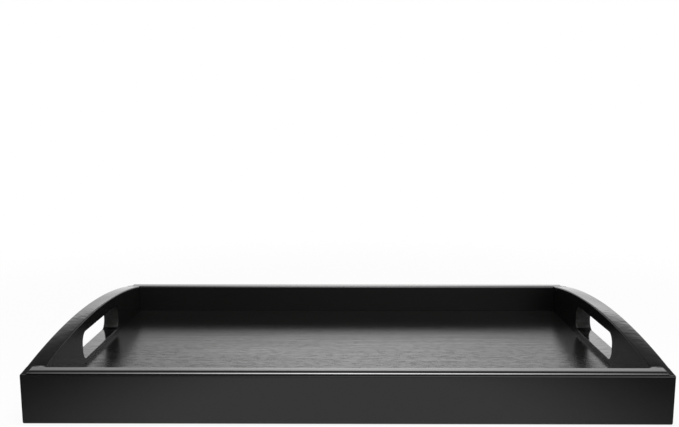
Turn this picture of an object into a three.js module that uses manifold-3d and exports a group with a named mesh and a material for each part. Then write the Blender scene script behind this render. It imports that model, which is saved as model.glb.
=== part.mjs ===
// Black wooden serving tray. Two straight rails lap over two arched end boards with hand holes, blind dowels
// hold the corners, a veneered panel floats in a groove round the inside, and felt pads sit under the ends.
// Millimetres, +Z up. The origin is on the table under the middle of the tray, and the front rail faces -Y.
import * as THREE from "three";
import { mergeVertices } from "three/addons/utils/BufferGeometryUtils.js";
import Module from "manifold-3d";

const wasm = await Module();
wasm.setup();

// Frame boards
const TRAY_LENGTH = 508; // outside, along the rails
const TRAY_DEPTH = 350; // outside, front rail to back rail
const RAIL_THICKNESS = 15;
const RAIL_HEIGHT = 42; // also the end boards' height where they meet the rails
const END_THICKNESS = 15;
const ARCH_RISE = 13; // how far an end board's middle stands above the rails
const GLUE_LINE = 0.15; // film of glue left between two boards, or a board and a pad

// Radii of the boards' edges
const RAIL_ROUND = 3; // a rail's outer top edge
const RAIL_EASE = 2; // a rail's inner top edge, between the end boards
const TOP_EASE = 1.2; // an end board's top edges
const GRIP_EASE = 0.5; // a hand hole's edges
const CORNER_EASE = 1.2; // the tray's upright corners, and a rail's ends at the top
const JOINT_EASE = 0.5; // the outer edges where a rail meets an end board
const FOOT_EASE = 1.5; // the edges that the boards stand on

// Run-outs: over a rail's ends the top slopes on from the arch to the outer face
const RUNOUT_LENGTH = 5.5; // along the rail
const RUNOUT_DROP = 2; // at the outer face
const RUNOUT_ROUND = 1.6; // radius on the edge between the slope and the outer face

// Hand holes
const GRIP_LENGTH = 122;
const GRIP_HEIGHT = 25;
const GRIP_CORNER = 10;
const GRIP_BAR = 12.2; // wood left above the hole at the crown of the arch

// Panel and its groove
const PANEL_THICKNESS = 5;
const PANEL_RECESS = 8.5; // panel's underside above the boards' lower edges
const GROOVE_DEPTH = 6;
const GROOVE_PLAY = 0.15; // above and below the panel
const PANEL_PLAY = 0.5; // room for the panel to swell, at each edge

// Corner dowels
const DOWELS_PER_CORNER = 2;
const DOWEL_DIAMETER = 6;
const DOWEL_LENGTH = 25;
const DOWEL_IN_RAIL = 9; // the rest of the length is in the end board
const DOWEL_CHAMFER = 0.8;
const DOWEL_FLUTES = 12;
const FLUTE_DEPTH = 0.25;
const DOWEL_PLAY = 0.15; // radial room for glue in the bore
const BORE_END_GAP = 0.5; // bore's depth beyond the dowel's end

// Felt pads
const PAD_DIAMETER = 10;
const PAD_THICKNESS = 1;
const PAD_INSET = 12; // pad's centre from the end of the end board

// Facets
const ARC_SEGMENTS = 6; // half the number of facets in each arc of an outline
const EASE_SEGMENTS = 2; // the same, for the small radii of a rail's section
const ROUND_SEGMENTS = 4; // facets across a rounded edge
const BORE_SEGMENTS = 16;
const PAD_SEGMENTS = 32;

// Derived sizes
const FRAME_Z = PAD_THICKNESS + GLUE_LINE;
const END_LENGTH = TRAY_DEPTH - 2 * RAIL_THICKNESS - 2 * GLUE_LINE;
const ARCH_RADIUS = ((END_LENGTH / 2) ** 2 + ARCH_RISE ** 2) / (2 * ARCH_RISE);
const CROWN_Z = RAIL_HEIGHT + ARCH_RISE;
const ARCH_CENTRE_Z = CROWN_Z - ARCH_RADIUS;
const GROOVE_BOTTOM = PANEL_RECESS - GROOVE_PLAY;
const GROOVE_WIDTH = PANEL_THICKNESS + 2 * GROOVE_PLAY;
const INNER_LENGTH = TRAY_LENGTH - 2 * END_THICKNESS;
const INNER_DEPTH = TRAY_DEPTH - 2 * RAIL_THICKNESS;
const BORE_RADIUS = DOWEL_DIAMETER / 2 / Math.cos(Math.PI / BORE_SEGMENTS) + DOWEL_PLAY;
const DOWEL_X = (TRAY_LENGTH - END_THICKNESS) / 2;
const DOWEL_IN_END = DOWEL_LENGTH - DOWEL_IN_RAIL;

// Finishes
const lacquer = { color: "#161616", roughness: 0.3, metalness: 0 };
const veneer = { color: "#1c1b1a", roughness: 0.42, metalness: 0 };
const beech = { color: "#c9a777", roughness: 0.7, metalness: 0 };
const felt = { color: "#24221f", roughness: 0.95, metalness: 0 };

// Solids

function solidOf(geometry) {
  const bare = geometry.index ? geometry.toNonIndexed() : geometry.clone();
  bare.deleteAttribute("normal");
  bare.deleteAttribute("uv");
  const merged = mergeVertices(bare);
  return new wasm.Manifold(
    new wasm.Mesh({
      numProp: 3,
      vertProperties: merged.attributes.position.array,
      triVerts: new Uint32Array(merged.index.array),
    }),
  );
}

function geometryOf(solid) {
  const cut = solid.getMesh();
  const geometry = new THREE.BufferGeometry();
  geometry.setAttribute("position", new THREE.BufferAttribute(cut.vertProperties, 3));
  geometry.setIndex(new THREE.BufferAttribute(cut.triVerts, 1));
  geometry.computeVertexNormals();
  return geometry;
}

function meshOf(name, geometry, finish) {
  const mesh = new THREE.Mesh(geometry, new THREE.MeshStandardMaterial(finish));
  mesh.name = name;
  return mesh;
}

// Outline axes: a section is drawn across a piece and runs along the axis named here.
const [X, Y, Z] = [new THREE.Vector3(1, 0, 0), new THREE.Vector3(0, 1, 0), new THREE.Vector3(0, 0, 1)];
const ALONG = {
  x: new THREE.Matrix4().makeBasis(Y, Z, X), // drawn in Y and Z
  y: new THREE.Matrix4().makeBasis(X, Z, Y.clone().negate()), // drawn in X and Z
  z: new THREE.Matrix4(), // drawn in X and Y
};

// Runs an outline along an axis, half the length to each side of the origin.
function extrude(outline, axis, length, curveSegments) {
  const geometry = new THREE.ExtrudeGeometry(outline, { depth: length, curveSegments, bevelEnabled: false });
  return geometry.translate(0, 0, -length / 2).applyMatrix4(ALONG[axis]);
}

// A rectangle from (left, bottom) to (right, top) with its own radius at each corner, 0 for a square one.
function roundedRectangle(path, left, bottom, right, top, radii) {
  const corners = [
    { x: left, y: bottom, radius: radii.bottomLeft, inX: 1, inY: 1, start: Math.PI },
    { x: right, y: bottom, radius: radii.bottomRight, inX: -1, inY: 1, start: 1.5 * Math.PI },
    { x: right, y: top, radius: radii.topRight, inX: -1, inY: -1, start: 0 },
    { x: left, y: top, radius: radii.topLeft, inX: 1, inY: -1, start: 0.5 * Math.PI },
  ];
  corners.forEach(({ x, y, radius, inX, inY, start }, index) => {
    if (radius > 0) {
      path.absarc(x + inX * radius, y + inY * radius, radius, start, start + Math.PI / 2, false);
    } else if (index === 0) {
      path.moveTo(x, y);
    } else {
      path.lineTo(x, y);
    }
  });
  path.closePath();
  return path;
}

function box(sizeX, sizeY, sizeZ, centreX, centreY, centreZ) {
  return solidOf(new THREE.BoxGeometry(sizeX, sizeY, sizeZ).translate(centreX, centreY, centreZ));
}

// A round bore along Y, between two places on that axis.
function bore(x, fromY, toY, z) {
  const cylinder = new THREE.CylinderGeometry(BORE_RADIUS, BORE_RADIUS, toY - fromY, BORE_SEGMENTS);
  return solidOf(cylinder.translate(x, (fromY + toY) / 2, z));
}

// Heights of the dowels: spread evenly over the corner joint, between the groove and the top of the rail.
function dowelHeights() {
  const lowest = GROOVE_BOTTOM + GROOVE_WIDTH;
  const step = (RAIL_HEIGHT - lowest) / DOWELS_PER_CORNER;
  return Array.from({ length: DOWELS_PER_CORNER }, (_, index) => lowest + step * (index + 0.5));
}

// Section of what a router takes off a rail's inner edge at a height: outside of an arc that touches both faces.
// The wood lies upwards of the edge (1) or downwards (-1).
function routedEdge(height, upwards, radius) {
  const inner = RAIL_THICKNESS / 2;
  const outline = new THREE.Shape();
  outline.absarc(inner - radius, height + upwards * radius, radius, (-upwards * Math.PI) / 2, 0, upwards < 0);
  outline.lineTo(inner + radius, height + upwards * radius);
  outline.lineTo(inner + radius, height - upwards * radius);
  outline.lineTo(inner - radius, height - upwards * radius);
  outline.closePath();
  return outline;
}

// Section of what is sanded off a rail's end: above a slope from the inner face, and an arc into the outer face.
function runoutWaste() {
  const inner = RAIL_THICKNESS / 2;
  const lean = Math.atan(RUNOUT_DROP / RAIL_THICKNESS);
  const arcY = RUNOUT_ROUND - inner;
  const arcZ = RAIL_HEIGHT - Math.tan(lean) * (inner - arcY) - RUNOUT_ROUND / Math.cos(lean);
  const outline = new THREE.Shape();
  outline.moveTo(inner, RAIL_HEIGHT);
  outline.absarc(arcY, arcZ, RUNOUT_ROUND, Math.PI / 2 + lean, Math.PI, false);
  outline.lineTo(-RAIL_THICKNESS, arcZ);
  outline.lineTo(-RAIL_THICKNESS, RAIL_HEIGHT + RUNOUT_DROP);
  outline.lineTo(inner, RAIL_HEIGHT + RUNOUT_DROP);
  outline.closePath();
  return outline;
}

// Front rail: outer face towards -Y, middle of its length and thickness at the origin.
// Its section, its front view and its plan are each rounded, and what they share is a board with its outer edges
// eased. The inner edges are routed between the end boards and stay square over them, flush with their ends.
function makeRail() {
  const half = TRAY_LENGTH / 2;
  const inner = RAIL_THICKNESS / 2;
  const outerEdges = { bottomLeft: FOOT_EASE, bottomRight: 0, topRight: 0, topLeft: RAIL_ROUND };
  const ends = { bottomLeft: FOOT_EASE, bottomRight: FOOT_EASE, topRight: CORNER_EASE, topLeft: CORNER_EASE };
  const corners = { bottomLeft: CORNER_EASE, bottomRight: CORNER_EASE, topRight: JOINT_EASE, topLeft: JOINT_EASE };
  const section = roundedRectangle(new THREE.Shape(), -inner, 0, inner, RAIL_HEIGHT, outerEdges);
  const front = roundedRectangle(new THREE.Shape(), -half, 0, half, RAIL_HEIGHT, ends);
  const plan = roundedRectangle(new THREE.Shape(), -half, -inner, half, inner, corners);
  let rail = solidOf(extrude(section, "x", TRAY_LENGTH, EASE_SEGMENTS))
    .intersect(solidOf(extrude(front, "y", RAIL_THICKNESS, EASE_SEGMENTS)))
    .intersect(solidOf(extrude(plan, "z", 2 * RAIL_HEIGHT, EASE_SEGMENTS)))
    .subtract(solidOf(extrude(routedEdge(0, 1, FOOT_EASE), "x", INNER_LENGTH, EASE_SEGMENTS)))
    .subtract(solidOf(extrude(routedEdge(RAIL_HEIGHT, -1, RAIL_EASE), "x", INNER_LENGTH, EASE_SEGMENTS)));
  for (const side of [-1, 1]) {
    const waste = extrude(runoutWaste(), "x", 2 * RUNOUT_LENGTH, EASE_SEGMENTS).translate(side * half, 0, 0);
    rail = rail.subtract(solidOf(waste));
  }
  const grooveLength = INNER_LENGTH + 2 * GROOVE_DEPTH; // stopped, so it doesn't show at the rail's ends
  const grooveZ = GROOVE_BOTTOM + GROOVE_WIDTH / 2;
  rail = rail.subtract(box(grooveLength, 2 * GROOVE_DEPTH, GROOVE_WIDTH, 0, inner, grooveZ));
  const boreDepth = DOWEL_IN_RAIL + BORE_END_GAP;
  for (const z of dowelHeights()) {
    for (const side of [-1, 1]) {
      rail = rail.subtract(bore(side * DOWEL_X, inner - boreDepth, inner + boreDepth, z));
    }
  }
  return geometryOf(rail);
}

// A board from its side view in Y and Z, with the edges of that outline rounded on both faces.
function roundedBoard(outline, radius) {
  const board = new THREE.ExtrudeGeometry(outline, {
    depth: END_THICKNESS - 2 * radius,
    curveSegments: ARC_SEGMENTS,
    bevelThickness: radius,
    bevelSize: radius,
    bevelOffset: -radius,
    bevelSegments: ROUND_SEGMENTS,
  });
  return solidOf(board.translate(0, 0, radius - END_THICKNESS / 2).applyMatrix4(ALONG.x));
}

// Side view of an end board's blank: an arc over the top. It runs past the board's ends and below its foot by the
// overrun, so that those edges lose the rounding when the blank is trimmed.
function blankOutline(overrun) {
  const reach = END_LENGTH / 2 + overrun;
  const spring = Math.acos(reach / ARCH_RADIUS);
  const outline = new THREE.Shape();
  outline.moveTo(-reach, -overrun);
  outline.lineTo(reach, -overrun);
  outline.absarc(0, ARCH_CENTRE_Z, ARCH_RADIUS, spring, Math.PI - spring, false);
  outline.closePath();
  return outline;
}

// Side view of the hand hole, in a plate that is larger than the board all round.
function gripOutline(overrun) {
  const reach = END_LENGTH / 2 + overrun;
  const outline = new THREE.Shape();
  outline.moveTo(-reach, -overrun);
  outline.lineTo(reach, -overrun);
  outline.lineTo(reach, CROWN_Z + overrun);
  outline.lineTo(-reach, CROWN_Z + overrun);
  outline.closePath();
  const top = CROWN_Z - GRIP_BAR;
  const corner = Math.min(GRIP_CORNER, GRIP_HEIGHT / 2);
  const corners = { bottomLeft: corner, bottomRight: corner, topRight: corner, topLeft: corner };
  const grip = new THREE.Path();
  roundedRectangle(grip, -GRIP_LENGTH / 2, top - GRIP_HEIGHT, GRIP_LENGTH / 2, top, corners);
  outline.holes.push(grip);
  return outline;
}

// Left end board: outer face towards -X, middle of its thickness and length at the origin.
function makeEndBoard() {
  const half = END_LENGTH / 2;
  const inner = END_THICKNESS / 2;
  const overrun = 2 * Math.max(TOP_EASE, GRIP_EASE);
  const foot = { bottomLeft: FOOT_EASE, bottomRight: FOOT_EASE, topRight: 0, topLeft: 0 };
  const section = roundedRectangle(new THREE.Shape(), -inner, 0, inner, CROWN_Z + overrun, foot);
  const joints = { bottomLeft: JOINT_EASE, bottomRight: 0, topRight: 0, topLeft: JOINT_EASE };
  const plan = roundedRectangle(new THREE.Shape(), -inner, -half, inner, half, joints);
  let board = roundedBoard(blankOutline(overrun), TOP_EASE)
    .intersect(roundedBoard(gripOutline(overrun), GRIP_EASE))
    .intersect(solidOf(extrude(section, "y", END_LENGTH + overrun, EASE_SEGMENTS)))
    .intersect(solidOf(extrude(plan, "z", 2 * (CROWN_Z + overrun), EASE_SEGMENTS)));
  const grooveZ = GROOVE_BOTTOM + GROOVE_WIDTH / 2;
  board = board.subtract(box(2 * GROOVE_DEPTH, END_LENGTH + overrun, GROOVE_WIDTH, inner, 0, grooveZ));
  const deep = half - DOWEL_IN_END - BORE_END_GAP;
  for (const z of dowelHeights()) {
    board = board.subtract(bore(0, deep, half + overrun, z));
    board = board.subtract(bore(0, -half - overrun, -deep, z));
  }
  return geometryOf(board);
}

// Panel: plain veneered board, its edges hidden in the groove all round.
function makePanel() {
  const intoGroove = 2 * (GROOVE_DEPTH - PANEL_PLAY);
  return new THREE.BoxGeometry(INNER_LENGTH + intoGroove, INNER_DEPTH + intoGroove, PANEL_THICKNESS);
}

// Fluted dowel pin along Y, its middle at the origin: the flutes let the glue spread, the chamfers ease it in.
function makeDowel() {
  const radius = DOWEL_DIAMETER / 2;
  const rim = Array.from({ length: 2 * DOWEL_FLUTES }, (_, index) => {
    const angle = (index * Math.PI) / DOWEL_FLUTES;
    const reach = index % 2 ? radius - FLUTE_DEPTH : radius;
    return new THREE.Vector2(reach * Math.cos(angle), reach * Math.sin(angle));
  });
  const straight = DOWEL_LENGTH - 2 * DOWEL_CHAMFER;
  const pin = new THREE.ExtrudeGeometry(new THREE.Shape(rim), {
    depth: straight,
    bevelThickness: DOWEL_CHAMFER,
    bevelSize: DOWEL_CHAMFER,
    bevelOffset: -DOWEL_CHAMFER,
    bevelSegments: 1,
  });
  return pin.translate(0, 0, -straight / 2).applyMatrix4(ALONG.y);
}

function makePad() {
  const radius = PAD_DIAMETER / 2;
  const disc = new THREE.CylinderGeometry(radius, radius, PAD_THICKNESS, PAD_SEGMENTS);
  return disc.rotateX(Math.PI / 2).translate(0, 0, PAD_THICKNESS / 2);
}

// Assembly

const tray = new THREE.Group();
const frame = new THREE.Group();
frame.position.z = FRAME_Z;
tray.add(frame);

const SIDES = { front: -1, back: 1 };
const ENDS = { left: -1, right: 1 };

for (const [side, sign] of Object.entries(SIDES)) {
  const rail = meshOf(`${side}_rail`, makeRail(), lacquer);
  rail.position.y = (sign * (TRAY_DEPTH - RAIL_THICKNESS)) / 2;
  rail.rotation.z = sign > 0 ? Math.PI : 0;
  frame.add(rail);
}

for (const [end, sign] of Object.entries(ENDS)) {
  const board = meshOf(`${end}_end_board`, makeEndBoard(), lacquer);
  board.position.x = (sign * (TRAY_LENGTH - END_THICKNESS)) / 2;
  board.rotation.z = sign > 0 ? Math.PI : 0;
  frame.add(board);
}

const panel = meshOf("bottom_panel", makePanel(), veneer);
panel.position.z = PANEL_RECESS + PANEL_THICKNESS / 2;
frame.add(panel);

const DOWEL_Y = INNER_DEPTH / 2 + DOWEL_IN_RAIL - DOWEL_LENGTH / 2;
const LEVELS = ["lower", "upper"];
for (const [side, signY] of Object.entries(SIDES)) {
  for (const [end, signX] of Object.entries(ENDS)) {
    dowelHeights().forEach((z, index) => {
      const dowel = meshOf(`dowel_${side}_${end}_${LEVELS[index] ?? index}`, makeDowel(), beech);
      dowel.position.set(signX * DOWEL_X, signY * DOWEL_Y, z);
      frame.add(dowel);
    });
    const pad = meshOf(`felt_pad_${side}_${end}`, makePad(), felt);
    pad.position.x = (signX * (TRAY_LENGTH - END_THICKNESS)) / 2;
    pad.position.y = signY * (END_LENGTH / 2 - PAD_INSET);
    tray.add(pad);
  }
}

export default tray;
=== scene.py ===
"""Black wooden serving tray: lacquered frame, stained veneer panel, beech dowels and felt pads."""

import math

import bmesh
import bpy
from mathutils import Matrix, Vector


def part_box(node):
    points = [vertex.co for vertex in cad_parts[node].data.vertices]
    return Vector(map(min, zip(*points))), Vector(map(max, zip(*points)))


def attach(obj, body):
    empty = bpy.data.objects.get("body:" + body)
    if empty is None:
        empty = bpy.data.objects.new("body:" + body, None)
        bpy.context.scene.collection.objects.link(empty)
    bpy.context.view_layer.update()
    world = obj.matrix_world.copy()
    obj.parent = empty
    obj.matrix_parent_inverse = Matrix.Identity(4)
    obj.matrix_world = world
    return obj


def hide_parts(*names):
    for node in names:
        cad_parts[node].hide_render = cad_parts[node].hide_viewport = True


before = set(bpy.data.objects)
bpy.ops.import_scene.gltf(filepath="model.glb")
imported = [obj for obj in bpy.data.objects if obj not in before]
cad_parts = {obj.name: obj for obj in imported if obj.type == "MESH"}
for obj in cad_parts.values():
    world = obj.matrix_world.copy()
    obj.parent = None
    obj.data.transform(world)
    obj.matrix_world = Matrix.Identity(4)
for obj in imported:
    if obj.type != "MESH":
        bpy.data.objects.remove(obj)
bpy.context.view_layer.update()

MM = 0.001

# Edges of the boards
RAIL_ROUND = 3.0 * MM  # a rail's outer top edge
RAIL_EASE = 2.0 * MM  # a rail's inner top edge
TOP_EASE = 1.2 * MM  # an end board's top edges, and the tray's outer corners
GRIP_EASE = 0.5 * MM  # a hand hole's edges
JOINT_EASE = 0.5 * MM  # outer edges where a rail meets an end board
FOOT_EASE = 1.5 * MM  # edges that the boards stand on
INNER_EASE = 0.2 * MM  # inner edges at the joints, sanded before the frame was glued
SEAM = 0.02 * MM  # what the lacquer leaves to be seen of a glue line
EDGE_STEPS = 8  # facets in each eased edge
SHARP_ANGLE = math.radians(40)  # faces that meet at more than this keep a crisp edge

# Rails: the top falls a little to the outer face, and at the tray's ends it runs on in the arch's slope
FALL_WIDTH = 3.0 * MM
FALL_DROP = 0.27 * MM
FALL_STEPS = 6
RUNOUT_WIDTH = 5.5 * MM
RUNOUT_BLEND = 0.5 * MM  # to each side of where the runout stops
RUNOUT_SLOPE = 0.133
RUNOUT_ROUND = 1.6 * MM  # its outer edge
FREE_BLEND = 1.0 * MM  # past an end board, the inner edges take up their easing over this length
FREE_STEPS = 4
RAIL_SLICES = (2, 3.5, 5, 5.2, 5.4, 5.6, 5.8, 6, 9)  # mm from an end, closest where the runout stops

# End boards
ARCH_RISE = 13 * MM
ARCH_STEPS = 30  # facets on each half of the arch
ARCH_CAMBER = 0.25 * MM  # how far the arch's top falls from its middle line to its edges
ARCH_LEVEL = 3 * MM  # the arch's inner edge is sanded level with the rail over this length
ARCH_END_STEPS = 6  # closer facets at each end of the arch
ARCH_END_PITCH = ARCH_LEVEL / 3
LEVEL_BLEND = 2.0 * MM  # inwards from the line of the rails' runout, where the arch gets level
END_SLICES = (1.5, 3, 4.5, 6)  # mm from each face
GRIP_LENGTH = 122 * MM
GRIP_HEIGHT = 25 * MM
GRIP_CORNER = 10 * MM
GRIP_BAR = 12.2 * MM  # wood above the hand hole at the crown of the arch
GRIP_STEPS = 12  # facets in each corner of the hole

# Groove round the inside, and the dowels' bores
GROOVE_DEPTH = 6 * MM
GROOVE_PLAY = 0.15 * MM
BORE_PLAY = 0.2 * MM
BORE_END_GAP = 0.5 * MM
BORE_FACETS = 32

# Where a face of a board looks, as parts of its normal, whose length is 1
FACING = 0.5  # with more than this towards a side, it faces that side
TILTED = 0.2  # with more than this both upwards and sideways, it lies on a rounded top edge

# Lacquer on the boards
ALONG_RAILS = 0.0  # turn of the grain
ALONG_ENDS = math.pi / 2
GRAIN_PITCH = 2.2 * MM
GRAIN_RUN = 90 * MM
GRAIN_RELIEF = 0.016 * MM
PEEL_PITCH = 3 * MM
PEEL_RELIEF = 0.012 * MM
PATCH_SIZE = 45 * MM
PATCH_STEP = 0.04  # how much rougher the patches are than the film between them
HOLLOW_PITCH = 7 * MM
HOLLOW_DEPTH = 0.2 * MM
LACQUER_IOR = 1.55
DEEP_BLACK = ("#090909", "#0e0e0d")
# End boards' inner faces: a duller coat, and paler shades that are painted light on faces the lamps hardly
# reach
WORN_AND_PAINTED_LIGHT_BLACK = ("#121212", "#181817")
# End grain in the hand holes: blotchy grain, and a grey that is partly painted light
END_GRAIN_AND_PAINTED_LIGHT_GREY = ("#0c0c0c", "#3e3e3c")

# Veneer of the bottom panel
SWAY = 4 * MM
SWAY_RUN = 120 * MM
RING_WIDTH = 5 * MM
RING_RUN = 160 * MM
PORE_LENGTH = 8 * MM
PORE_WIDTH = 2.8 * MM  # 0.3 mm on the real veneer, which is too fine for the render to show
PORE_EDGE = (0.44, 0.66)  # levels of the noise, from closed wood to open pore
PORE_RELIEF = 0.03 * MM
PORE_ROUGH = 0.04  # what a pore adds to the roughness
PORE_GLOSS = -0.12  # and to the gloss level
FRONT_BLEND = 60 * MM  # the back of the panel turns into its front over this length each side of its middle
OPEN_GRAIN = (0.22, 1.0)  # strength of the pores, at the back and at the front
VENEER_GLOSS_AND_PAINTED_SHADE = (0.18, 0.44)  # gloss level, at the back and at the front, where its fall towards the back is painted shade
VENEER_ROUGH = (0.21, 0.26)  # roughness of late and of early wood
VENEER_SHADES = ("#0d0c0c", "#191817")  # of late and of early wood
PORE_SHADE = "#080808"

# Beech of the dowels
FLECK_WIDTH = 0.5 * MM
FLECK_LENGTH = 3 * MM
FLECK_RELIEF = 0.05 * MM
BEECH_SHADES = ("#d3b488", "#b08a5c")

# Felt pads
TUFT_SIZE = 0.4 * MM
TUFT_RELIEF = 0.2 * MM
FELT_SHADES = ("#191816", "#34312d")
PAD_RIM = 0.3 * MM  # how far the punched edge is crushed in at its rims
PAD_FACETS = 64  # round the disc
PAD_LAYERS = 6  # rows of facets on the cut side
PAD_RINGS = 5  # rings of facets on the flat faces
CUT_SIDE = 0.6  # a face whose normal rises or falls less than this belongs to the cut side
FUZZ_BAND = 0.35  # fibres start within this share of the thickness from mid-height
FIBRES_PER_WIDTH = 420  # on a stretch of the cut side as long as the pad is wide
FIBRE_LENGTH = 0.9 * MM
FIBRE_SHORTEST = 0.3  # as a share of that length
FIBRE_RADIUS = 0.06 * MM  # of the longest, several times a real one's, so that a close view shows it
FIBRE_LEAN = 0.5  # radians, to each side
FIBRE_BOW = ((0, 0, 0), (0, 0, 0.4), (0.25, 0, 0.8), (0.5, 0.1, 0.9))  # root, handles and tip, at length 1
FIBRE_STEPS = 4
FIBRE_SIDES = 3
FIBRE_SEED = 7

# Camera, fitted to the corners and edges of the tray in the photograph, which is 679 pixels wide
CAMERA_PLACE = Vector((-1.28, -814.59, 241.46)) * MM
CAMERA_PITCH = math.radians(-10.049)
CAMERA_ROLL = math.radians(0.017)
CAMERA_YAW = math.radians(0.401)
CAMERA_SENSOR = 36.0  # width in mm
CAMERA_LENS = 45.63  # focal length in mm
CAMERA_SHIFT_Y = 0.075
CAMERA_NEAR = 10 * MM

# Floor
FLOOR_SIZE = 12.0
FLOOR_DROP = 0.02 * MM  # the floor lies this far under the pads, so that no two faces share a plane
FLOOR_SHADE = 0.07  # share of the floor that takes light and shadow, the rest is plain white
FLOOR_SHADE_FADE = (0.35, 0.9)  # distances from the tray's middle over which that share goes
POOL_CENTRE_Y = -0.175  # the floor's painted pool of light is centred under the front rail's outer face
POOL_REACH = (0.265, 0.28)  # from its middle, along and across the rail
POOL_FADE = (0.45, 1.25)  # shares of that reach over which the pool fades
POOL_LOSS = (0.24, 0.92)  # share of the white that gloss misses, in the pool and outside it
POOL_BACK = (-0.1, 0.2)  # places along Y over which that loss goes, towards the back

# Sheets of light: half sizes run from the middle to half strength
SHEET_REACH = 2.2  # the sheet ends at this many half sizes, where its light is faint
KEY_PLACE = Vector((0.05, -0.28, 1.15))
KEY_FACING = Vector((0.05, -0.17, 0.04))
KEY_HALF_WIDTH = 0.38
KEY_HALF_DEPTH = 0.20
KEY_STRENGTH = 12.5
GLOW_PLACE = Vector((0.05, 3.00, 0.83))
GLOW_FACING = Vector((0, 0, 0.03))
GLOW_HALF_WIDTH = 0.88
GLOW_HALF_HEIGHT = 0.17
GLOW_STRENGTH = 1.8

# Room: brightness by the height of a direction, whose length is 1, and from its left (0) to its right (1)
ROOM_HEIGHTS = ((0.0, 1.0), (0.21, 1.0), (0.27, 0.86), (0.32, 0.76),
                (0.38, 0.42), (0.43, 0.22), (0.48, 0.14), (1.0, 0.13))
ROOM_SIDES = ((0.0, 0.3), (0.215, 0.4), (0.355, 0.78), (0.525, 1.0))
SIDES_FROM = (0.02, 0.2)  # heights over which the sides start to count
DARK_BEHIND = (0.0, -0.3)  # directions along Y over which the dark part behind the camera starts
DARK_LEFT = (-0.3, 0.12)  # directions along X over which it ends
DARK_SHARE = 0.8

# Sockets of a Mix node in its colour form, where several have the same name
MIX_SHARE = 0
MIX_FROM = 6
MIX_TO = 7
MIXED = 2

NOISE_SPAN = (0.3, 0.7)  # a noise texture seldom leaves this span
WHITE = "#ffffff"


def srgb(colour):
    """Linear RGBA of an sRGB hex colour such as "#1a2b3c"."""
    channels = [int(colour[i:i + 2], 16) / 255 for i in (1, 3, 5)]
    return [c / 12.92 if c <= 0.04045 else ((c + 0.055) / 1.055) ** 2.4 for c in channels] + [1.0]


def add(tree, kind, inputs=None, stops=None, **settings):
    """Adds a node, with values or links for its inputs, its settings, and the stops of a grey ramp."""
    node = tree.nodes.new(kind)
    for setting, value in settings.items():
        setattr(node, setting, value)
    for socket, value in (inputs or {}).items():
        if isinstance(value, bpy.types.NodeSocket):
            tree.links.new(value, node.inputs[socket])
        else:
            node.inputs[socket].default_value = value
    if stops:
        ramp = node.color_ramp
        while len(ramp.elements) < len(stops):
            ramp.elements.new(1.0)
        for element, (place, level) in zip(ramp.elements, stops):
            element.position = place
            element.color = (level, level, level, 1)
    return node


def new_material(name):
    material = bpy.data.materials.new(name)
    material.use_nodes = True
    material.node_tree.nodes.clear()
    return material, material.node_tree


# Materials

def lacquered_wood(where, grain_turn, dullest, gloss, shades, hollow=0.0):
    """Black lacquer sprayed over sanded rubberwood: a deep semi-gloss black. The film levels out most of the
    grain, so the eye gets a faint draw along it, a slight orange peel in the reflections, and patches rubbed
    less bright. Takes where it is, the turn of the grain, the roughness of those patches, the gloss level,
    where 0.5 is one full coat, the grain's two shades, and the depth of the hollows that sanding leaves in a
    sawn edge."""
    material, tree = new_material("black lacquer on rubberwood, " + where)
    place = add(tree, "ShaderNodeTexCoord").outputs["Object"]
    turned = add(tree, "ShaderNodeMapping", {
        "Vector": place, "Rotation": (0, 0, grain_turn)}).outputs["Vector"]
    # Grain that telegraphs through the film, in long lines.
    along_grain = add(tree, "ShaderNodeVectorMath", {
        0: turned, 1: (1 / GRAIN_RUN, 1 / GRAIN_PITCH, 1 / GRAIN_PITCH)},
        operation="MULTIPLY").outputs["Vector"]
    grain = add(tree, "ShaderNodeTexNoise", {
        "Vector": along_grain, "Scale": 1.0, "Detail": 3.0}).outputs["Fac"]
    # Orange peel of the sprayed film.
    peel = add(tree, "ShaderNodeTexNoise", {
        "Vector": place, "Scale": 1 / PEEL_PITCH, "Detail": 1.0}).outputs["Fac"]
    # Handling marks: patches a little duller than the rest.
    patches = add(tree, "ShaderNodeTexNoise", {
        "Vector": place, "Scale": 1 / PATCH_SIZE, "Detail": 3.0}).outputs["Fac"]
    first, second = shades
    colour = add(tree, "ShaderNodeMix", {
        MIX_SHARE: grain, MIX_FROM: srgb(first), MIX_TO: srgb(second)}, data_type="RGBA").outputs[MIXED]
    rough = add(tree, "ShaderNodeMapRange", {
        "Value": patches, "From Min": NOISE_SPAN[0], "From Max": NOISE_SPAN[1],
        "To Min": dullest - PATCH_STEP, "To Max": dullest}).outputs["Result"]
    # Soft dips from sanding.
    dips = add(tree, "ShaderNodeTexNoise", {
        "Vector": place, "Scale": 1 / HOLLOW_PITCH, "Detail": 2.0}).outputs["Fac"]
    sanded = add(tree, "ShaderNodeBump", {
        "Height": dips, "Strength": 1.0, "Distance": hollow}).outputs["Normal"]
    film = add(tree, "ShaderNodeBump", {
        "Height": peel, "Strength": 1.0, "Distance": PEEL_RELIEF, "Normal": sanded}).outputs["Normal"]
    relief = add(tree, "ShaderNodeBump", {
        "Height": grain, "Strength": 1.0, "Distance": GRAIN_RELIEF, "Normal": film}).outputs["Normal"]
    shader = add(tree, "ShaderNodeBsdfPrincipled", {
        "Base Color": colour, "Roughness": rough, "IOR": LACQUER_IOR, "Specular IOR Level": gloss,
        "Normal": relief}).outputs["BSDF"]
    add(tree, "ShaderNodeOutputMaterial", {"Surface": shader})
    return material


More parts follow.
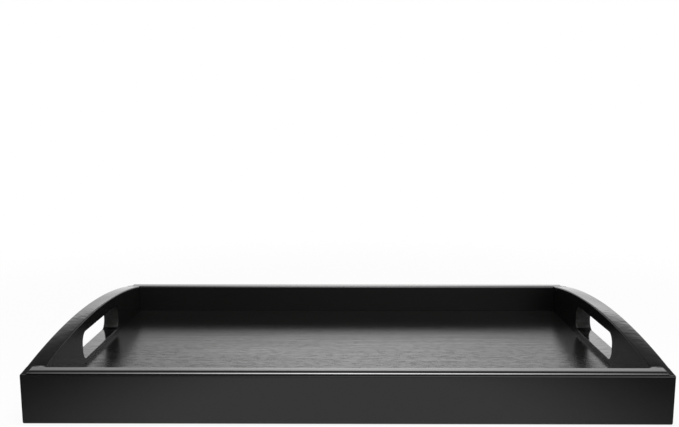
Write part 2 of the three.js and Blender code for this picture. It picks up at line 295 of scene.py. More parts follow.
def stained_veneer():
    """Ash veneer stained black under a satin lacquer: straight open grain. The lacquer sinks into the pores,
    so they stay as fine dull dashes along the grain, between harder and glossier bands of late wood."""
    material, tree = new_material("black-stained ash veneer, satin lacquer")
    place = add(tree, "ShaderNodeTexCoord").outputs["Object"]
    # Figure: the grain wanders a little.
    sway = add(tree, "ShaderNodeTexNoise", {
        "Vector": place, "Scale": 1 / SWAY_RUN, "Detail": 1.0}).outputs["Color"]
    swayed = add(tree, "ShaderNodeVectorMath", {
        0: sway, 1: (0, SWAY, 0), 2: place}, operation="MULTIPLY_ADD").outputs["Vector"]
    # Growth rings, as long bands.
    ring_place = add(tree, "ShaderNodeVectorMath", {
        0: swayed, 1: (1 / RING_RUN, 1 / RING_WIDTH, 1 / RING_WIDTH)},
        operation="MULTIPLY").outputs["Vector"]
    rings = add(tree, "ShaderNodeTexNoise", {
        "Vector": ring_place, "Scale": 1.0, "Detail": 2.0}).outputs["Fac"]
    # Pores, as short dashes.
    pore_place = add(tree, "ShaderNodeVectorMath", {
        0: swayed, 1: (1 / PORE_LENGTH, 1 / PORE_WIDTH, 1 / PORE_WIDTH)},
        operation="MULTIPLY").outputs["Vector"]
    pore_noise = add(tree, "ShaderNodeTexNoise", {
        "Vector": pore_place, "Scale": 1.0, "Detail": 2.0}).outputs["Fac"]
    dashes = add(tree, "ShaderNodeMapRange", {
        "Value": pore_noise, "From Min": PORE_EDGE[0], "From Max": PORE_EDGE[1]},
        interpolation_type="SMOOTHSTEP").outputs["Result"]
    # Towards the front the grain is more open and the lacquer glossier. The gloss falling towards the back
    # is painted shade, for the bright room that the rails hide from the back of the panel.
    along = add(tree, "ShaderNodeSeparateXYZ", {0: place}).outputs["Y"]
    front = add(tree, "ShaderNodeMapRange", {
        "Value": along, "From Min": FRONT_BLEND, "From Max": -FRONT_BLEND},
        interpolation_type="SMOOTHSTEP").outputs["Result"]
    openness = add(tree, "ShaderNodeMapRange", {
        "Value": front, "To Min": OPEN_GRAIN[0], "To Max": OPEN_GRAIN[1]}).outputs["Result"]
    pores = add(tree, "ShaderNodeMath", {0: dashes, 1: openness}, operation="MULTIPLY").outputs["Value"]
    gloss = add(tree, "ShaderNodeMapRange", {
        "Value": front, "To Min": VENEER_GLOSS_AND_PAINTED_SHADE[0], "To Max": VENEER_GLOSS_AND_PAINTED_SHADE[1]}).outputs["Result"]
    film = add(tree, "ShaderNodeMath", {
        0: pores, 1: PORE_GLOSS, 2: gloss}, operation="MULTIPLY_ADD").outputs["Value"]
    late, early = VENEER_SHADES
    wood = add(tree, "ShaderNodeMix", {
        MIX_SHARE: rings, MIX_FROM: srgb(late), MIX_TO: srgb(early)}, data_type="RGBA").outputs[MIXED]
    stained = add(tree, "ShaderNodeMix", {
        MIX_SHARE: pores, MIX_FROM: wood, MIX_TO: srgb(PORE_SHADE)}, data_type="RGBA").outputs[MIXED]
    satin = add(tree, "ShaderNodeMapRange", {
        "Value": rings, "From Min": NOISE_SPAN[0], "From Max": NOISE_SPAN[1],
        "To Min": VENEER_ROUGH[0], "To Max": VENEER_ROUGH[1]}).outputs["Result"]
    rough = add(tree, "ShaderNodeMath", {
        0: pores, 1: PORE_ROUGH, 2: satin}, operation="MULTIPLY_ADD").outputs["Value"]
    depth = add(tree, "ShaderNodeMath", {0: 1.0, 1: pores}, operation="SUBTRACT").outputs["Value"]
    relief = add(tree, "ShaderNodeBump", {
        "Height": depth, "Strength": 1.0, "Distance": PORE_RELIEF}).outputs["Normal"]
    shader = add(tree, "ShaderNodeBsdfPrincipled", {
        "Base Color": stained, "Roughness": rough, "IOR": LACQUER_IOR, "Specular IOR Level": film,
        "Normal": relief}).outputs["BSDF"]
    add(tree, "ShaderNodeOutputMaterial", {"Surface": shader})
    return material


def bare_beech():
    """Turned and fluted beech, left bare: pale pinkish brown and dull, with short dark flecks along it."""
    material, tree = new_material("bare beech")
    place = add(tree, "ShaderNodeTexCoord").outputs["Object"]
    # Rays: flecks along the pin.
    fleck_place = add(tree, "ShaderNodeVectorMath", {
        0: place, 1: (1 / FLECK_WIDTH, 1 / FLECK_LENGTH, 1 / FLECK_WIDTH)},
        operation="MULTIPLY").outputs["Vector"]
    flecks = add(tree, "ShaderNodeTexNoise", {
        "Vector": fleck_place, "Scale": 1.0, "Detail": 2.0}).outputs["Fac"]
    pale, dark = BEECH_SHADES
    colour = add(tree, "ShaderNodeMix", {
        MIX_SHARE: flecks, MIX_FROM: srgb(pale), MIX_TO: srgb(dark)}, data_type="RGBA").outputs[MIXED]
    relief = add(tree, "ShaderNodeBump", {
        "Height": flecks, "Strength": 0.5, "Distance": FLECK_RELIEF}).outputs["Normal"]
    shader = add(tree, "ShaderNodeBsdfPrincipled", {
        "Base Color": colour, "Roughness": 0.65, "IOR": 1.5, "Normal": relief}).outputs["BSDF"]
    add(tree, "ShaderNodeOutputMaterial", {"Surface": shader})
    return material


def wool_felt():
    """Pressed wool felt, dyed charcoal: matt and a little cloudy, with a soft bloom at grazing angles."""
    material, tree = new_material("pressed wool felt")
    place = add(tree, "ShaderNodeTexCoord").outputs["Object"]
    # Tufts of tangled fibres.
    tufts = add(tree, "ShaderNodeTexNoise", {
        "Vector": place, "Scale": 1 / TUFT_SIZE, "Detail": 4.0, "Distortion": 1.5}).outputs["Fac"]
    dark, pale = FELT_SHADES
    colour = add(tree, "ShaderNodeMix", {
        MIX_SHARE: tufts, MIX_FROM: srgb(dark), MIX_TO: srgb(pale)}, data_type="RGBA").outputs[MIXED]
    relief = add(tree, "ShaderNodeBump", {
        "Height": tufts, "Strength": 1.0, "Distance": TUFT_RELIEF}).outputs["Normal"]
    shader = add(tree, "ShaderNodeBsdfPrincipled", {
        "Base Color": colour, "Roughness": 0.95, "IOR": 1.5, "Specular IOR Level": 0.2,
        "Sheen Weight": 0.4, "Sheen Roughness": 0.5, "Normal": relief}).outputs["BSDF"]
    add(tree, "ShaderNodeOutputMaterial", {"Surface": shader})
    return material


# Boards

def both_sides(half):
    """A closed outline from its right half, which runs from the bottom's middle to the top's middle."""
    return half + [(-along, height) for along, height in reversed(half[1:-1])]


def eased(depth, radius):
    """How far a rounded edge stands back from one of its faces, at a depth below the other."""
    short = max(0.0, radius - depth)
    return radius - math.sqrt(radius ** 2 - short ** 2)


def smooth(value, low, high):
    """0 up to low, 1 from high, and a soft step between them."""
    share = min(1.0, max(0.0, (value - low) / (high - low)))
    return share * share * (3 - 2 * share)


def slices(size, more):
    """Places to slice a board: close together where its edges are eased, and where more are asked for."""
    turns = [math.pi / 2 * i / EDGE_STEPS for i in range(EDGE_STEPS + 1)]
    near = [TOP_EASE * (1 - math.cos(turn)) for turn in turns] + more
    return near + [size - place for place in reversed(near)]


def skin(shape, rings):
    """Walls from each ring of points to the next. Gives the rings' vertices."""
    made = [[shape.verts.new(point) for point in ring] for ring in rings]
    for near, far in zip(made, made[1:]):
        for i in range(len(near)):
            shape.faces.new((near[i - 1], near[i], far[i], far[i - 1]))
    return made


def mesh_object(name, shape):
    """An object from a bmesh, which is used up."""
    mesh = bpy.data.meshes.new(name)
    shape.to_mesh(mesh)
    shape.free()
    made = bpy.data.objects.new(name, mesh)
    bpy.context.scene.collection.objects.link(made)
    return made


def evaluated_mesh(made):
    """The object's mesh with its modifiers applied."""
    bpy.context.view_layer.update()
    return bpy.data.meshes.new_from_object(made.evaluated_get(bpy.context.evaluated_depsgraph_get()))


def joint_cutter(name, groove):
    """The panel's groove in a board, and the bores of the dowels that reach into it."""
    cutter = bmesh.new()
    low, high = groove
    bmesh.ops.create_cube(
        cutter, matrix=Matrix.Translation((low + high) / 2) @ Matrix.Diagonal((*(high - low), 1)))
    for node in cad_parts:
        if node.startswith("dowel_"):
            start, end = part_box(node)
            centre = (start + end) / 2
            size = end - start
            radius = size.z / 2 + BORE_PLAY
            bmesh.ops.create_cone(
                cutter, cap_ends=True, segments=BORE_FACETS, radius1=radius, radius2=radius,
                depth=size.y + 2 * BORE_END_GAP,
                matrix=Matrix.Translation(centre) @ Matrix.Rotation(math.pi / 2, 4, "X"))
    return mesh_object(name + "_cutter", cutter)


def finish_board(name, shape, groove, coats, choose):
    """Cuts the groove and bores, and puts the board in the CAD board's place. Each face takes the coat of
    lacquer that is chosen for it."""
    bmesh.ops.recalc_face_normals(shape, faces=shape.faces)
    blank = mesh_object(name + "_blank", shape)
    cutter = joint_cutter(name, groove)
    cut = blank.modifiers.new("groove and bores", "BOOLEAN")
    cut.operation = "DIFFERENCE"
    cut.object = cutter
    mesh = evaluated_mesh(blank)
    mesh.name = name + "_lacquered"
    for spare in (blank, cutter):
        bpy.data.meshes.remove(spare.data)
    mesh.shade_smooth()
    mesh.set_sharp_from_angle(angle=SHARP_ANGLE)
    mesh.materials.clear()
    for coat in coats:
        mesh.materials.append(coat)
    for face in mesh.polygons:
        face.material_index = coats.index(choose(face))
    board = bpy.data.objects.new(name + "_lacquered", mesh)
    bpy.context.scene.collection.objects.link(board)
    shading = board.modifiers.new("flat faces stay flat", "WEIGHTED_NORMAL")
    shading.keep_sharp = True
    shading.weight = 100
    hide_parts(name)
    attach(board, "root")


panel_low, panel_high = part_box("bottom_panel")
well_low = Vector((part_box("left_end_board")[1].x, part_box("front_rail")[1].y))
well_high = Vector((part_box("right_end_board")[0].x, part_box("back_rail")[0].y))
groove_low = Vector((well_low.x - GROOVE_DEPTH, well_low.y - GROOVE_DEPTH, panel_low.z - GROOVE_PLAY))
groove_high = Vector((well_high.x + GROOVE_DEPTH, well_high.y + GROOVE_DEPTH, panel_high.z + GROOVE_PLAY))
arch_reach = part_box("left_end_board")[1].y
arch_radius = (arch_reach ** 2 + ARCH_RISE ** 2) / (2 * ARCH_RISE)


def rail_section(thick, tall, inset, free):
    """Section of a rail, from its outer face and its foot, drawn in by the inset. The inner edges are almost
    square where the rail lies against an end board (free 0) and eased where it is free (1)."""
    foot = INNER_EASE + free * (FOOT_EASE - INNER_EASE)
    top = INNER_EASE + free * (RAIL_EASE - INNER_EASE)
    corners = ((FOOT_EASE, FOOT_EASE, FOOT_EASE), (thick - foot, foot, foot),
               (thick - top, tall - top, top), (RAIL_ROUND, tall - RAIL_ROUND, RAIL_ROUND))
    points = []
    for quarter, (inward, up, radius) in enumerate(corners):
        short = max(0.0, radius - inset)
        for i in range(EDGE_STEPS + 1):
            turn = math.pi / 2 * (quarter + 2 + i / EDGE_STEPS)
            points.append((inward + short * math.cos(turn), up + short * math.sin(turn)))
        if quarter == 2:
            # The top, between its inner and its outer edge, is cut up where it falls.
            falling = [RAIL_ROUND + FALL_WIDTH * (1 - i / FALL_STEPS) for i in range(FALL_STEPS)]
            points += [(across, tall - inset) for across in falling]
    return points


def make_rail(side, outward, plain, rounded, inner):
    """Straight rail, with a coat of its own on its rounded top edges and on its inner face. Its top is level
    along the inside, falls towards the outer face, and drops at the corners."""
    name = side + "_rail"
    low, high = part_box(name)
    size = high - low
    outer = low.y if outward < 0 else high.y
    end_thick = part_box("left_end_board")[1].x - low.x
    freed = [end_thick + i * FREE_BLEND / FREE_STEPS for i in range(FREE_STEPS + 1)]
    rings = []
    for place in slices(size.x, [i * MM for i in RAIL_SLICES] + freed):
        from_end = min(place, size.x - place)
        inset = eased(from_end, TOP_EASE)
        runout = 1 - smooth(from_end, RUNOUT_WIDTH - RUNOUT_BLEND, RUNOUT_WIDTH + RUNOUT_BLEND)
        free = smooth(from_end, end_thick, end_thick + FREE_BLEND)
        ring = []
        for inward, up in rail_section(size.y, size.z, inset, free):
            if up > size.z / 2:
                fall = max(0.0, (RAIL_ROUND + FALL_WIDTH - inward) / FALL_WIDTH)
                up -= FALL_DROP * (fall ** 2 if fall < 1 else 2 * fall - 1)
                slope = size.z - RUNOUT_SLOPE * (size.y - inward) - eased(inward, RUNOUT_ROUND) - inset
                up -= runout * max(0.0, up - slope)
            ring.append((low.x + place, outer - outward * inward, low.z + up))
        rings.append(ring)
    shape = bmesh.new()
    made = skin(shape, rings)
    shape.faces.new(made[0])
    shape.faces.new(made[-1])

    def choose(face):
        if face.normal.z > TILTED and abs(face.normal.y) > TILTED:
            return rounded
        return inner if face.normal.y * outward < -FACING else plain

    finish_board(name, shape, (groove_low, groove_high), [plain, rounded, inner], choose)


def end_outline(low, high, reach, depth, thick):
    """Outline of an end board at a depth below its outer face."""
    under = min(depth, thick - depth)
    foot = low + eased(under, FOOT_EASE)
    end = reach - eased(under, JOINT_EASE if depth < thick / 2 else INNER_EASE)
    back = eased(under, TOP_EASE) + ARCH_CAMBER * (2 * depth / thick - 1) ** 2
    level = smooth(depth, RUNOUT_WIDTH - RUNOUT_BLEND, RUNOUT_WIDTH + LEVEL_BLEND)
    near = [end - i * ARCH_END_PITCH for i in range(ARCH_END_STEPS)]
    half = [(0.0, foot), (end, foot)]
    for along in near + [near[-1] * (1 - (i + 1) / ARCH_STEPS) for i in range(ARCH_STEPS)]:
        rise = math.sqrt(arch_radius ** 2 - along ** 2) - (arch_radius - ARCH_RISE)
        rise *= 1 - level * smooth(along, reach - 2 * ARCH_LEVEL, reach - ARCH_LEVEL)
        half.append((along, high - ARCH_RISE + rise - back))
    return both_sides(half)


def grip_outline(high, grow):
    """Outline of the hand hole, larger by the growth all round."""
    top = high - GRIP_BAR + grow
    bottom = top - GRIP_HEIGHT - 2 * grow
    corner = GRIP_CORNER + grow
    across = GRIP_LENGTH / 2 - GRIP_CORNER
    half = [(0.0, bottom)]
    for height, start in ((bottom + corner, -math.pi / 2), (top - corner, 0.0)):
        turns = [start + math.pi / 2 * i / GRIP_STEPS for i in range(GRIP_STEPS + 1)]
        half += [(across + corner * math.cos(turn), height + corner * math.sin(turn)) for turn in turns]
    return both_sides(half + [(0.0, top)])


def make_end_board(end, outward, plain, inner, sanded, end_grain):
    """End board with an arched top and a hand hole through it. Its inner face, its upward faces, which are
    the arch and the hole's ledge, and the end grain in the hole have coats of their own."""
    name = end + "_end_board"
    low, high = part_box(name)
    outer = low.x if outward < 0 else high.x
    thick = high.x - low.x
    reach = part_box("back_rail")[0].y - SEAM
    edges = []
    holes = []
    for depth in slices(thick, [i * MM for i in END_SLICES]):
        across = outer - outward * depth
        grow = eased(min(depth, thick - depth), GRIP_EASE)
        edges.append([(across, along, up) for along, up in end_outline(low.z, high.z, reach, depth, thick)])
        holes.append([(across, along, up) for along, up in grip_outline(high.z, grow)])
    shape = bmesh.new()
    outlines = skin(shape, edges)
    openings = skin(shape, holes)
    for edge, opening in ((outlines[0], openings[0]), (outlines[-1], openings[-1])):
        # Two halves, joined under and over the hole, leave it open.
        crown = len(edge) // 2
        lintel = len(opening) // 2
        shape.faces.new(edge[:crown + 1] + opening[lintel::-1])
        shape.faces.new(edge[crown:] + edge[:1] + opening[:1] + opening[:lintel - 1:-1])
    groove = (Vector((groove_low.x, groove_low.y - GROOVE_DEPTH, groove_low.z)),
              Vector((groove_high.x, groove_high.y + GROOVE_DEPTH, groove_high.z)))

    def choose(face):
        if abs(face.normal.y) > FACING and abs(face.center.y) < GRIP_LENGTH / 2 + GRIP_EASE:
            return end_grain
        if face.normal.x * outward < -FACING:
            return inner
        return sanded if face.normal.z > FACING else plain

    finish_board(name, shape, groove, [plain, inner, sanded, end_grain], choose)


rail_lacquer = lacquered_wood("rails", ALONG_RAILS, dullest=0.12, gloss=0.5, shades=DEEP_BLACK)
end_lacquer = lacquered_wood("end boards", ALONG_ENDS, dullest=0.12, gloss=0.5, shades=DEEP_BLACK)
# The end boards' inner faces get a duller coat, and their paler shades are painted light.
dull_lacquer = lacquered_wood("rubbed dull", ALONG_ENDS, dullest=0.24, gloss=0.1, shades=WORN_AND_PAINTED_LIGHT_BLACK)
edge_lacquer = lacquered_wood(
    "sanded edges", ALONG_ENDS, dullest=0.14, gloss=0.5, shades=DEEP_BLACK, hollow=HOLLOW_DEPTH)
round_lacquer = lacquered_wood("second coat", ALONG_RAILS, dullest=0.12, gloss=0.9, shades=DEEP_BLACK)
inner_lacquer = lacquered_wood("inside of rails", ALONG_RAILS, dullest=0.34, gloss=0.5, shades=DEEP_BLACK)
# Cut end grain drinks the lacquer, so it is left dull and blotchy. Its grey is partly painted light, for the
# light that the hole lets onto it.
grain_lacquer = lacquered_wood("end grain", ALONG_ENDS, dullest=0.45, gloss=0.3, shades=END_GRAIN_AND_PAINTED_LIGHT_GREY)
for side, outward in (("front", -1), ("back", 1)):
    make_rail(side, outward, rail_lacquer, round_lacquer, inner_lacquer)
for end, outward in (("left", -1), ("right", 1)):
    make_end_board(end, outward, end_lacquer, dull_lacquer, edge_lacquer, grain_lacquer)


# Panel and dowels

def dress_node(name, material):
    """A CAD piece that keeps its shape and gets its finish."""
    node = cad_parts[name]
    node.data.materials.clear()
    node.data.materials.append(material)


dress_node("bottom_panel", stained_veneer())
beech = bare_beech()
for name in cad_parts:
    if name.startswith("dowel_"):
        dress_node(name, beech)


# Felt pads

def felt_pad_tree():
    """A disc punched from felt, its rims crushed in a little, with loose fibres out of its cut side."""
    tree = bpy.data.node_groups.new("felt pad", "GeometryNodeTree")
    for name, kind in (("Centre", "NodeSocketVector"), ("Diameter", "NodeSocketFloat"),
                       ("Thickness", "NodeSocketFloat"), ("Rim", "NodeSocketFloat"),
                       ("Fibres Per Width", "NodeSocketInt"), ("Fibre Length", "NodeSocketFloat"),
                       ("Fibre Radius", "NodeSocketFloat"), ("Seed", "NodeSocketInt"),
                       ("Felt", "NodeSocketMaterial")):
        tree.interface.new_socket(name, in_out="INPUT", socket_type=kind)
    tree.interface.new_socket("Geometry", in_out="OUTPUT", socket_type="NodeSocketGeometry")
    given = add(tree, "NodeGroupInput").outputs
    radius = add(tree, "ShaderNodeMath", {0: given["Diameter"], 1: 0.5}, operation="MULTIPLY").outputs[0]
    disc = add(tree, "GeometryNodeMeshCylinder", {
        "Vertices": PAD_FACETS, "Side Segments": PAD_LAYERS, "Fill Segments": PAD_RINGS,
        "Radius": radius, "Depth": given["Thickness"]}).outputs["Mesh"]
    # The side bulges between its two rims: a parabola in height pulls the rims in.
    place = add(tree, "GeometryNodeInputPosition").outputs[0]
    height = add(tree, "ShaderNodeSeparateXYZ", {0: place}).outputs["Z"]
    level = add(tree, "ShaderNodeMath", {0: height, 1: given["Thickness"]}, operation="DIVIDE").outputs[0]
    square = add(tree, "ShaderNodeMath", {0: level, 1: level}, operation="MULTIPLY").outputs[0]
    pinch = add(tree, "ShaderNodeMath", {0: square, 1: 4.0}, operation="MULTIPLY").outputs[0]
    share = add(tree, "ShaderNodeMath", {0: given["Rim"], 1: radius}, operation="DIVIDE").outputs[0]
    narrow = add(tree, "ShaderNodeMath", {0: pinch, 1: share}, operation="MULTIPLY").outputs[0]
    scale = add(tree, "ShaderNodeMath", {0: 1.0, 1: narrow}, operation="SUBTRACT").outputs[0]
    spread = add(tree, "ShaderNodeCombineXYZ", {"X": scale, "Y": scale, "Z": 1.0}).outputs[0]
    drawn = add(tree, "ShaderNodeVectorMath", {0: place, 1: spread}, operation="MULTIPLY").outputs[0]
    pad = add(tree, "GeometryNodeSetPosition", {"Geometry": disc, "Position": drawn}).outputs[0]
    # Fibres leave the cut side, away from its rims.
    off_middle = add(tree, "ShaderNodeMath", {0: level}, operation="ABSOLUTE").outputs[0]
    band = add(tree, "ShaderNodeMath", {0: off_middle, 1: FUZZ_BAND}, operation="LESS_THAN").outputs[0]
    normal = add(tree, "GeometryNodeInputNormal").outputs[0]
    upward = add(tree, "ShaderNodeSeparateXYZ", {0: normal}).outputs["Z"]
    flatness = add(tree, "ShaderNodeMath", {0: upward}, operation="ABSOLUTE").outputs[0]
    wall = add(tree, "ShaderNodeMath", {0: flatness, 1: CUT_SIDE}, operation="LESS_THAN").outputs[0]
    chosen = add(tree, "ShaderNodeMath", {0: band, 1: wall}, operation="MULTIPLY").outputs[0]
    area = add(tree, "ShaderNodeMath", {
        0: given["Diameter"], 1: given["Thickness"]}, operation="MULTIPLY").outputs[0]
    density = add(tree, "ShaderNodeMath", {
        0: given["Fibres Per Width"], 1: area}, operation="DIVIDE").outputs[0]
    roots = add(tree, "GeometryNodeDistributePointsOnFaces", {
        "Mesh": pad, "Selection": chosen, "Density": density, "Seed": given["Seed"]}).outputs
    root, first_handle, last_handle, tip = FIBRE_BOW
    bow = add(tree, "GeometryNodeCurvePrimitiveBezierSegment", {
        "Resolution": FIBRE_STEPS, "Start": root, "Start Handle": first_handle,
        "End Handle": last_handle, "End": tip}).outputs[0]
    thin = add(tree, "ShaderNodeMath", {
        0: given["Fibre Radius"], 1: given["Fibre Length"]}, operation="DIVIDE").outputs[0]
    thread = add(tree, "GeometryNodeCurvePrimitiveCircle", {
        "Resolution": FIBRE_SIDES, "Radius": thin}).outputs[0]
    fibre = add(tree, "GeometryNodeCurveToMesh", {
        "Curve": bow, "Profile Curve": thread, "Fill Caps": True}).outputs[0]
    # Each fibre gets a lean, a turn and a length of its own. Sockets 0 and 1 hold vectors, 2 and 3 numbers.
    turn = add(tree, "FunctionNodeRandomValue", {
        0: (-FIBRE_LEAN, -FIBRE_LEAN, -math.pi), 1: (FIBRE_LEAN, FIBRE_LEAN, math.pi),
        "Seed": given["Seed"]}, data_type="FLOAT_VECTOR").outputs[0]
    leaning = add(tree, "FunctionNodeRotateRotation", {
        "Rotation": roots["Rotation"], "Rotate By": turn}, rotation_space="LOCAL").outputs[0]
    length = add(tree, "FunctionNodeRandomValue", {
        2: FIBRE_SHORTEST, 3: 1.0, "Seed": given["Seed"]}, data_type="FLOAT").outputs[1]
    size = add(tree, "ShaderNodeMath", {
        0: length, 1: given["Fibre Length"]}, operation="MULTIPLY").outputs[0]
    fuzz = add(tree, "GeometryNodeInstanceOnPoints", {
        "Points": roots["Points"], "Instance": fibre, "Rotation": leaning, "Scale": size}).outputs[0]
    joined = add(tree, "GeometryNodeJoinGeometry")
    tree.links.new(pad, joined.inputs[0])
    tree.links.new(fuzz, joined.inputs[0])
    solid = add(tree, "GeometryNodeRealizeInstances", {"Geometry": joined.outputs[0]}).outputs[0]
    # Fibres that would reach into the table or the board lie flat against it.
    split = add(tree, "ShaderNodeSeparateXYZ", {0: place}).outputs
    half = add(tree, "ShaderNodeMath", {0: given["Thickness"], 1: 0.5}, operation="MULTIPLY").outputs[0]
    under = add(tree, "ShaderNodeMath", {0: half, 1: -1.0}, operation="MULTIPLY").outputs[0]
    within = add(tree, "ShaderNodeClamp", {"Value": split["Z"], "Min": under, "Max": half}).outputs[0]
    bounded = add(tree, "ShaderNodeCombineXYZ", {"X": split["X"], "Y": split["Y"], "Z": within}).outputs[0]
    pressed = add(tree, "GeometryNodeSetPosition", {"Geometry": solid, "Position": bounded}).outputs[0]
    set_down = add(tree, "GeometryNodeTransform", {
        "Geometry": pressed, "Translation": given["Centre"]}).outputs[0]
    felted = add(tree, "GeometryNodeSetMaterial", {
        "Geometry": set_down, "Material": given["Felt"]}).outputs[0]
    add(tree, "NodeGroupOutput", {0: felted})
    return tree


def make_felt_pad(node, seed, tree, felt):
    low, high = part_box(node)
    sizes = {"Centre": (low + high) / 2, "Diameter": high.x - low.x, "Thickness": high.z - low.z,
             "Rim": PAD_RIM, "Fibres Per Width": FIBRES_PER_WIDTH, "Fibre Length": FIBRE_LENGTH,
             "Fibre Radius": FIBRE_RADIUS, "Seed": seed, "Felt": felt}
    blank = mesh_object(node + "_blank", bmesh.new())
    nodes = blank.modifiers.new("felt pad", "NODES")
    nodes.node_group = tree
    for socket in tree.interface.items_tree:
        if socket.in_out == "INPUT":
            nodes[socket.identifier] = sizes[socket.name]
    mesh = evaluated_mesh(blank)
    mesh.name = node + "_felt"
    bpy.data.meshes.remove(blank.data)
    pad = bpy.data.objects.new(node + "_felt", mesh)
    bpy.context.scene.collection.objects.link(pad)
    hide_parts(node)
    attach(pad, "root")


pad_tree = felt_pad_tree()
felt = wool_felt()
for index, name in enumerate(sorted(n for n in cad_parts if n.startswith("felt_pad_"))):
    make_felt_pad(name, FIBRE_SEED + index, pad_tree, felt)


# Stage: floor, world and lights

def panel_of_light(name, place, facing, half_width, half_depth, strength):
    """A softbox: a sheet of light with soft edges, brightest in the middle, that faces a point. What is
    behind it shows through, so its light adds to the world's."""
    material, tree = new_material(name)
    local = add(tree, "ShaderNodeTexCoord").outputs["Object"]
    axes = add(tree, "ShaderNodeSeparateXYZ", {0: local}).outputs
    falls = []
    for axis, half in (("X", half_width), ("Y", half_depth)):
        share = add(tree, "ShaderNodeMath", {0: axes[axis], 1: half}, operation="DIVIDE").outputs[0]
        square = add(tree, "ShaderNodeMath", {0: share, 1: share}, operation="MULTIPLY").outputs[0]
        falls.append(add(tree, "ShaderNodeMath", {0: 0.5, 1: square}, operation="POWER").outputs[0])
    bell = add(tree, "ShaderNodeMath", {0: falls[0], 1: falls[1]}, operation="MULTIPLY").outputs[0]
    level = add(tree, "ShaderNodeMath", {0: bell, 1: strength}, operation="MULTIPLY").outputs[0]
    glow = add(tree, "ShaderNodeEmission", {"Color": srgb(WHITE), "Strength": level}).outputs[0]
    clear = add(tree, "ShaderNodeBsdfTransparent").outputs[0]
    both = add(tree, "ShaderNodeAddShader", {0: glow, 1: clear}).outputs[0]
    add(tree, "ShaderNodeOutputMaterial", {"Surface": both})
    sheet = bmesh.new()
    bmesh.ops.create_grid(
        sheet, x_segments=1, y_segments=1, size=1.0,
        matrix=Matrix.Diagonal((SHEET_REACH * half_width, SHEET_REACH * half_depth, 1, 1)))
    light = mesh_object(name, sheet)
    light.data.materials.append(material)
    light.location = place
    light.rotation_euler = (place - facing).to_track_quat("Z", "Y").to_euler()
    light.visible_camera = False


def make_floor():
    """Pale floor. Eyes and gloss see it plain white with a share of its shadows. In front of the tray, gloss
    sees it dimmer outside a painted pool of light."""
    material, tree = new_material("white painted floor")
    path = add(tree, "ShaderNodeLightPath").outputs
    local = add(tree, "ShaderNodeTexCoord").outputs["Object"]
    # A painted pool of light: away from the front rail, gloss sees the floor less white.
    away = add(tree, "ShaderNodeVectorMath", {
        0: local, 1: (0, POOL_CENTRE_Y, 0)}, operation="SUBTRACT").outputs[0]
    scaled = add(tree, "ShaderNodeVectorMath", {
        0: away, 1: (*POOL_REACH, 1.0)}, operation="DIVIDE").outputs[0]
    reach = add(tree, "ShaderNodeVectorMath", {0: scaled}, operation="LENGTH").outputs["Value"]
    outside = add(tree, "ShaderNodeMapRange", {
        "Value": reach, "From Min": POOL_FADE[0], "From Max": POOL_FADE[1],
        "To Min": POOL_LOSS[0], "To Max": POOL_LOSS[1]}, interpolation_type="SMOOTHSTEP").outputs[0]
    depth = add(tree, "ShaderNodeSeparateXYZ", {0: local}).outputs["Y"]
    front = add(tree, "ShaderNodeMapRange", {
        "Value": depth, "From Min": POOL_BACK[0], "From Max": POOL_BACK[1],
        "To Min": 1.0, "To Max": 0.0}, interpolation_type="SMOOTHSTEP").outputs[0]
    lost = add(tree, "ShaderNodeMath", {0: outside, 1: front}, operation="MULTIPLY").outputs[0]
    dimmed = add(tree, "ShaderNodeMath", {
        0: lost, 1: path["Is Glossy Ray"]}, operation="MULTIPLY").outputs[0]
    level = add(tree, "ShaderNodeMath", {0: 1.0, 1: dimmed}, operation="SUBTRACT").outputs[0]
    white = add(tree, "ShaderNodeEmission", {"Color": srgb(WHITE), "Strength": level}).outputs[0]
    lit = add(tree, "ShaderNodeBsdfDiffuse", {"Color": srgb("#f2f2f2")}).outputs[0]
    far = add(tree, "ShaderNodeVectorMath", {0: local}, operation="LENGTH").outputs["Value"]
    shade = add(tree, "ShaderNodeMapRange", {
        "Value": far, "From Min": FLOOR_SHADE_FADE[0], "From Max": FLOOR_SHADE_FADE[1],
        "To Min": FLOOR_SHADE, "To Max": 0.0}, interpolation_type="SMOOTHSTEP").outputs[0]
    seen = add(tree, "ShaderNodeMixShader", {0: shade, 1: white, 2: lit}).outputs[0]
    eyes = add(tree, "ShaderNodeMath", {
        0: path["Is Camera Ray"], 1: path["Is Glossy Ray"]}, operation="ADD").outputs[0]
    sees = add(tree, "ShaderNodeMath", {
        0: eyes, 1: path["Is Transmission Ray"]}, operation="ADD", use_clamp=True).outputs[0]
    floor = add(tree, "ShaderNodeMixShader", {0: sees, 1: lit, 2: seen}).outputs[0]
    # Seen from below it is clear, so that the underside of the tray shows.
    below = add(tree, "ShaderNodeNewGeometry").outputs["Backfacing"]
    clear = add(tree, "ShaderNodeBsdfTransparent").outputs[0]
    shown = add(tree, "ShaderNodeMixShader", {0: below, 1: floor, 2: clear}).outputs[0]
    add(tree, "ShaderNodeOutputMaterial", {"Surface": shown})
    sheet = bmesh.new()
    bmesh.ops.create_grid(sheet, x_segments=1, y_segments=1, size=FLOOR_SIZE / 2)
    plane = mesh_object("floor", sheet)
    plane.data.materials.append(material)
    plane.location.z = -FLOOR_DROP


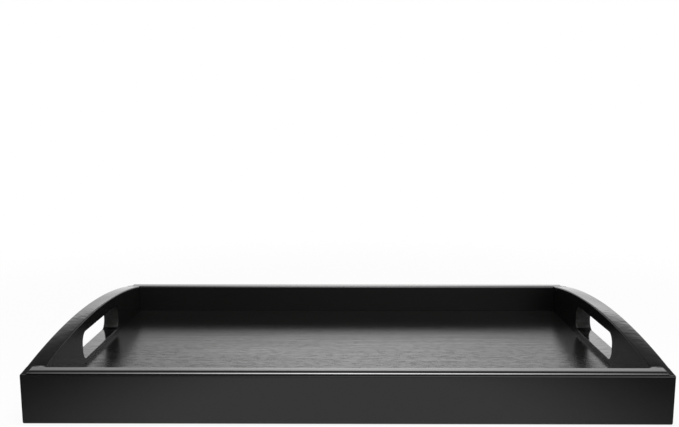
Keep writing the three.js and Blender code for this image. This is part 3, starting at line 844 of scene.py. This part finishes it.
def make_world():
    """White all round the horizon, falling off to a dim ceiling above about 25 degrees."""
    world = bpy.data.worlds.new("white sweep under a dim ceiling")
    bpy.context.scene.world = world
    world.use_nodes = True
    tree = world.node_tree
    tree.nodes.clear()
    way = add(tree, "ShaderNodeTexCoord").outputs["Generated"]
    axes = add(tree, "ShaderNodeSeparateXYZ", {0: way}).outputs
    rise = add(tree, "ShaderNodeValToRGB", {"Fac": axes["Z"]}, stops=ROOM_HEIGHTS).outputs[0]
    # The left side of the room is darker than the right.
    across = add(tree, "ShaderNodeMapRange", {
        "Value": axes["X"], "From Min": -1.0, "From Max": 1.0}).outputs[0]
    side = add(tree, "ShaderNodeValToRGB", {"Fac": across}, stops=ROOM_SIDES).outputs[0]
    above = add(tree, "ShaderNodeMapRange", {
        "Value": axes["Z"], "From Min": SIDES_FROM[0], "From Max": SIDES_FROM[1]}).outputs[0]
    back = add(tree, "ShaderNodeMix", {
        MIX_SHARE: above, MIX_FROM: rise, MIX_TO: side},
        data_type="RGBA", blend_type="MULTIPLY").outputs[MIXED]
    # So is what stands behind the camera on that side.
    behind = add(tree, "ShaderNodeMapRange", {
        "Value": axes["Y"], "From Min": DARK_BEHIND[0], "From Max": DARK_BEHIND[1]}).outputs[0]
    left = add(tree, "ShaderNodeMapRange", {
        "Value": axes["X"], "From Min": DARK_LEFT[0], "From Max": DARK_LEFT[1],
        "To Min": DARK_SHARE, "To Max": 0.0}).outputs[0]
    dark = add(tree, "ShaderNodeMath", {0: behind, 1: left}, operation="MULTIPLY").outputs[0]
    room = add(tree, "ShaderNodeMix", {
        MIX_SHARE: dark, MIX_FROM: back, MIX_TO: srgb("#000000")}, data_type="RGBA").outputs[MIXED]
    # The eye sees it plain white.
    eye = add(tree, "ShaderNodeLightPath").outputs["Is Camera Ray"]
    sky = add(tree, "ShaderNodeMix", {
        MIX_SHARE: eye, MIX_FROM: room, MIX_TO: srgb(WHITE)}, data_type="RGBA").outputs[MIXED]
    background = add(tree, "ShaderNodeBackground", {"Color": sky, "Strength": 1.0}).outputs[0]
    add(tree, "ShaderNodeOutputWorld", {"Surface": background})


make_floor()
make_world()
panel_of_light("key_softbox", KEY_PLACE, KEY_FACING, KEY_HALF_WIDTH, KEY_HALF_DEPTH, KEY_STRENGTH)
panel_of_light("back_glow", GLOW_PLACE, GLOW_FACING, GLOW_HALF_WIDTH, GLOW_HALF_HEIGHT, GLOW_STRENGTH)

# Camera

lens = bpy.data.cameras.new("camera")
lens.sensor_fit = "HORIZONTAL"
lens.sensor_width = CAMERA_SENSOR
lens.lens = CAMERA_LENS
lens.shift_y = CAMERA_SHIFT_Y
lens.clip_start = CAMERA_NEAR
camera = bpy.data.objects.new("camera", lens)
bpy.context.scene.collection.objects.link(camera)
camera.matrix_world = (
    Matrix.Translation(CAMERA_PLACE)
    @ Matrix.Rotation(CAMERA_YAW, 4, "Z")
    @ Matrix.Rotation(math.pi / 2 + CAMERA_PITCH, 4, "X")
    @ Matrix.Rotation(-CAMERA_ROLL, 4, "Z"))
bpy.context.scene.camera = camera
bpy.context.scene.view_settings.view_transform = "Standard"
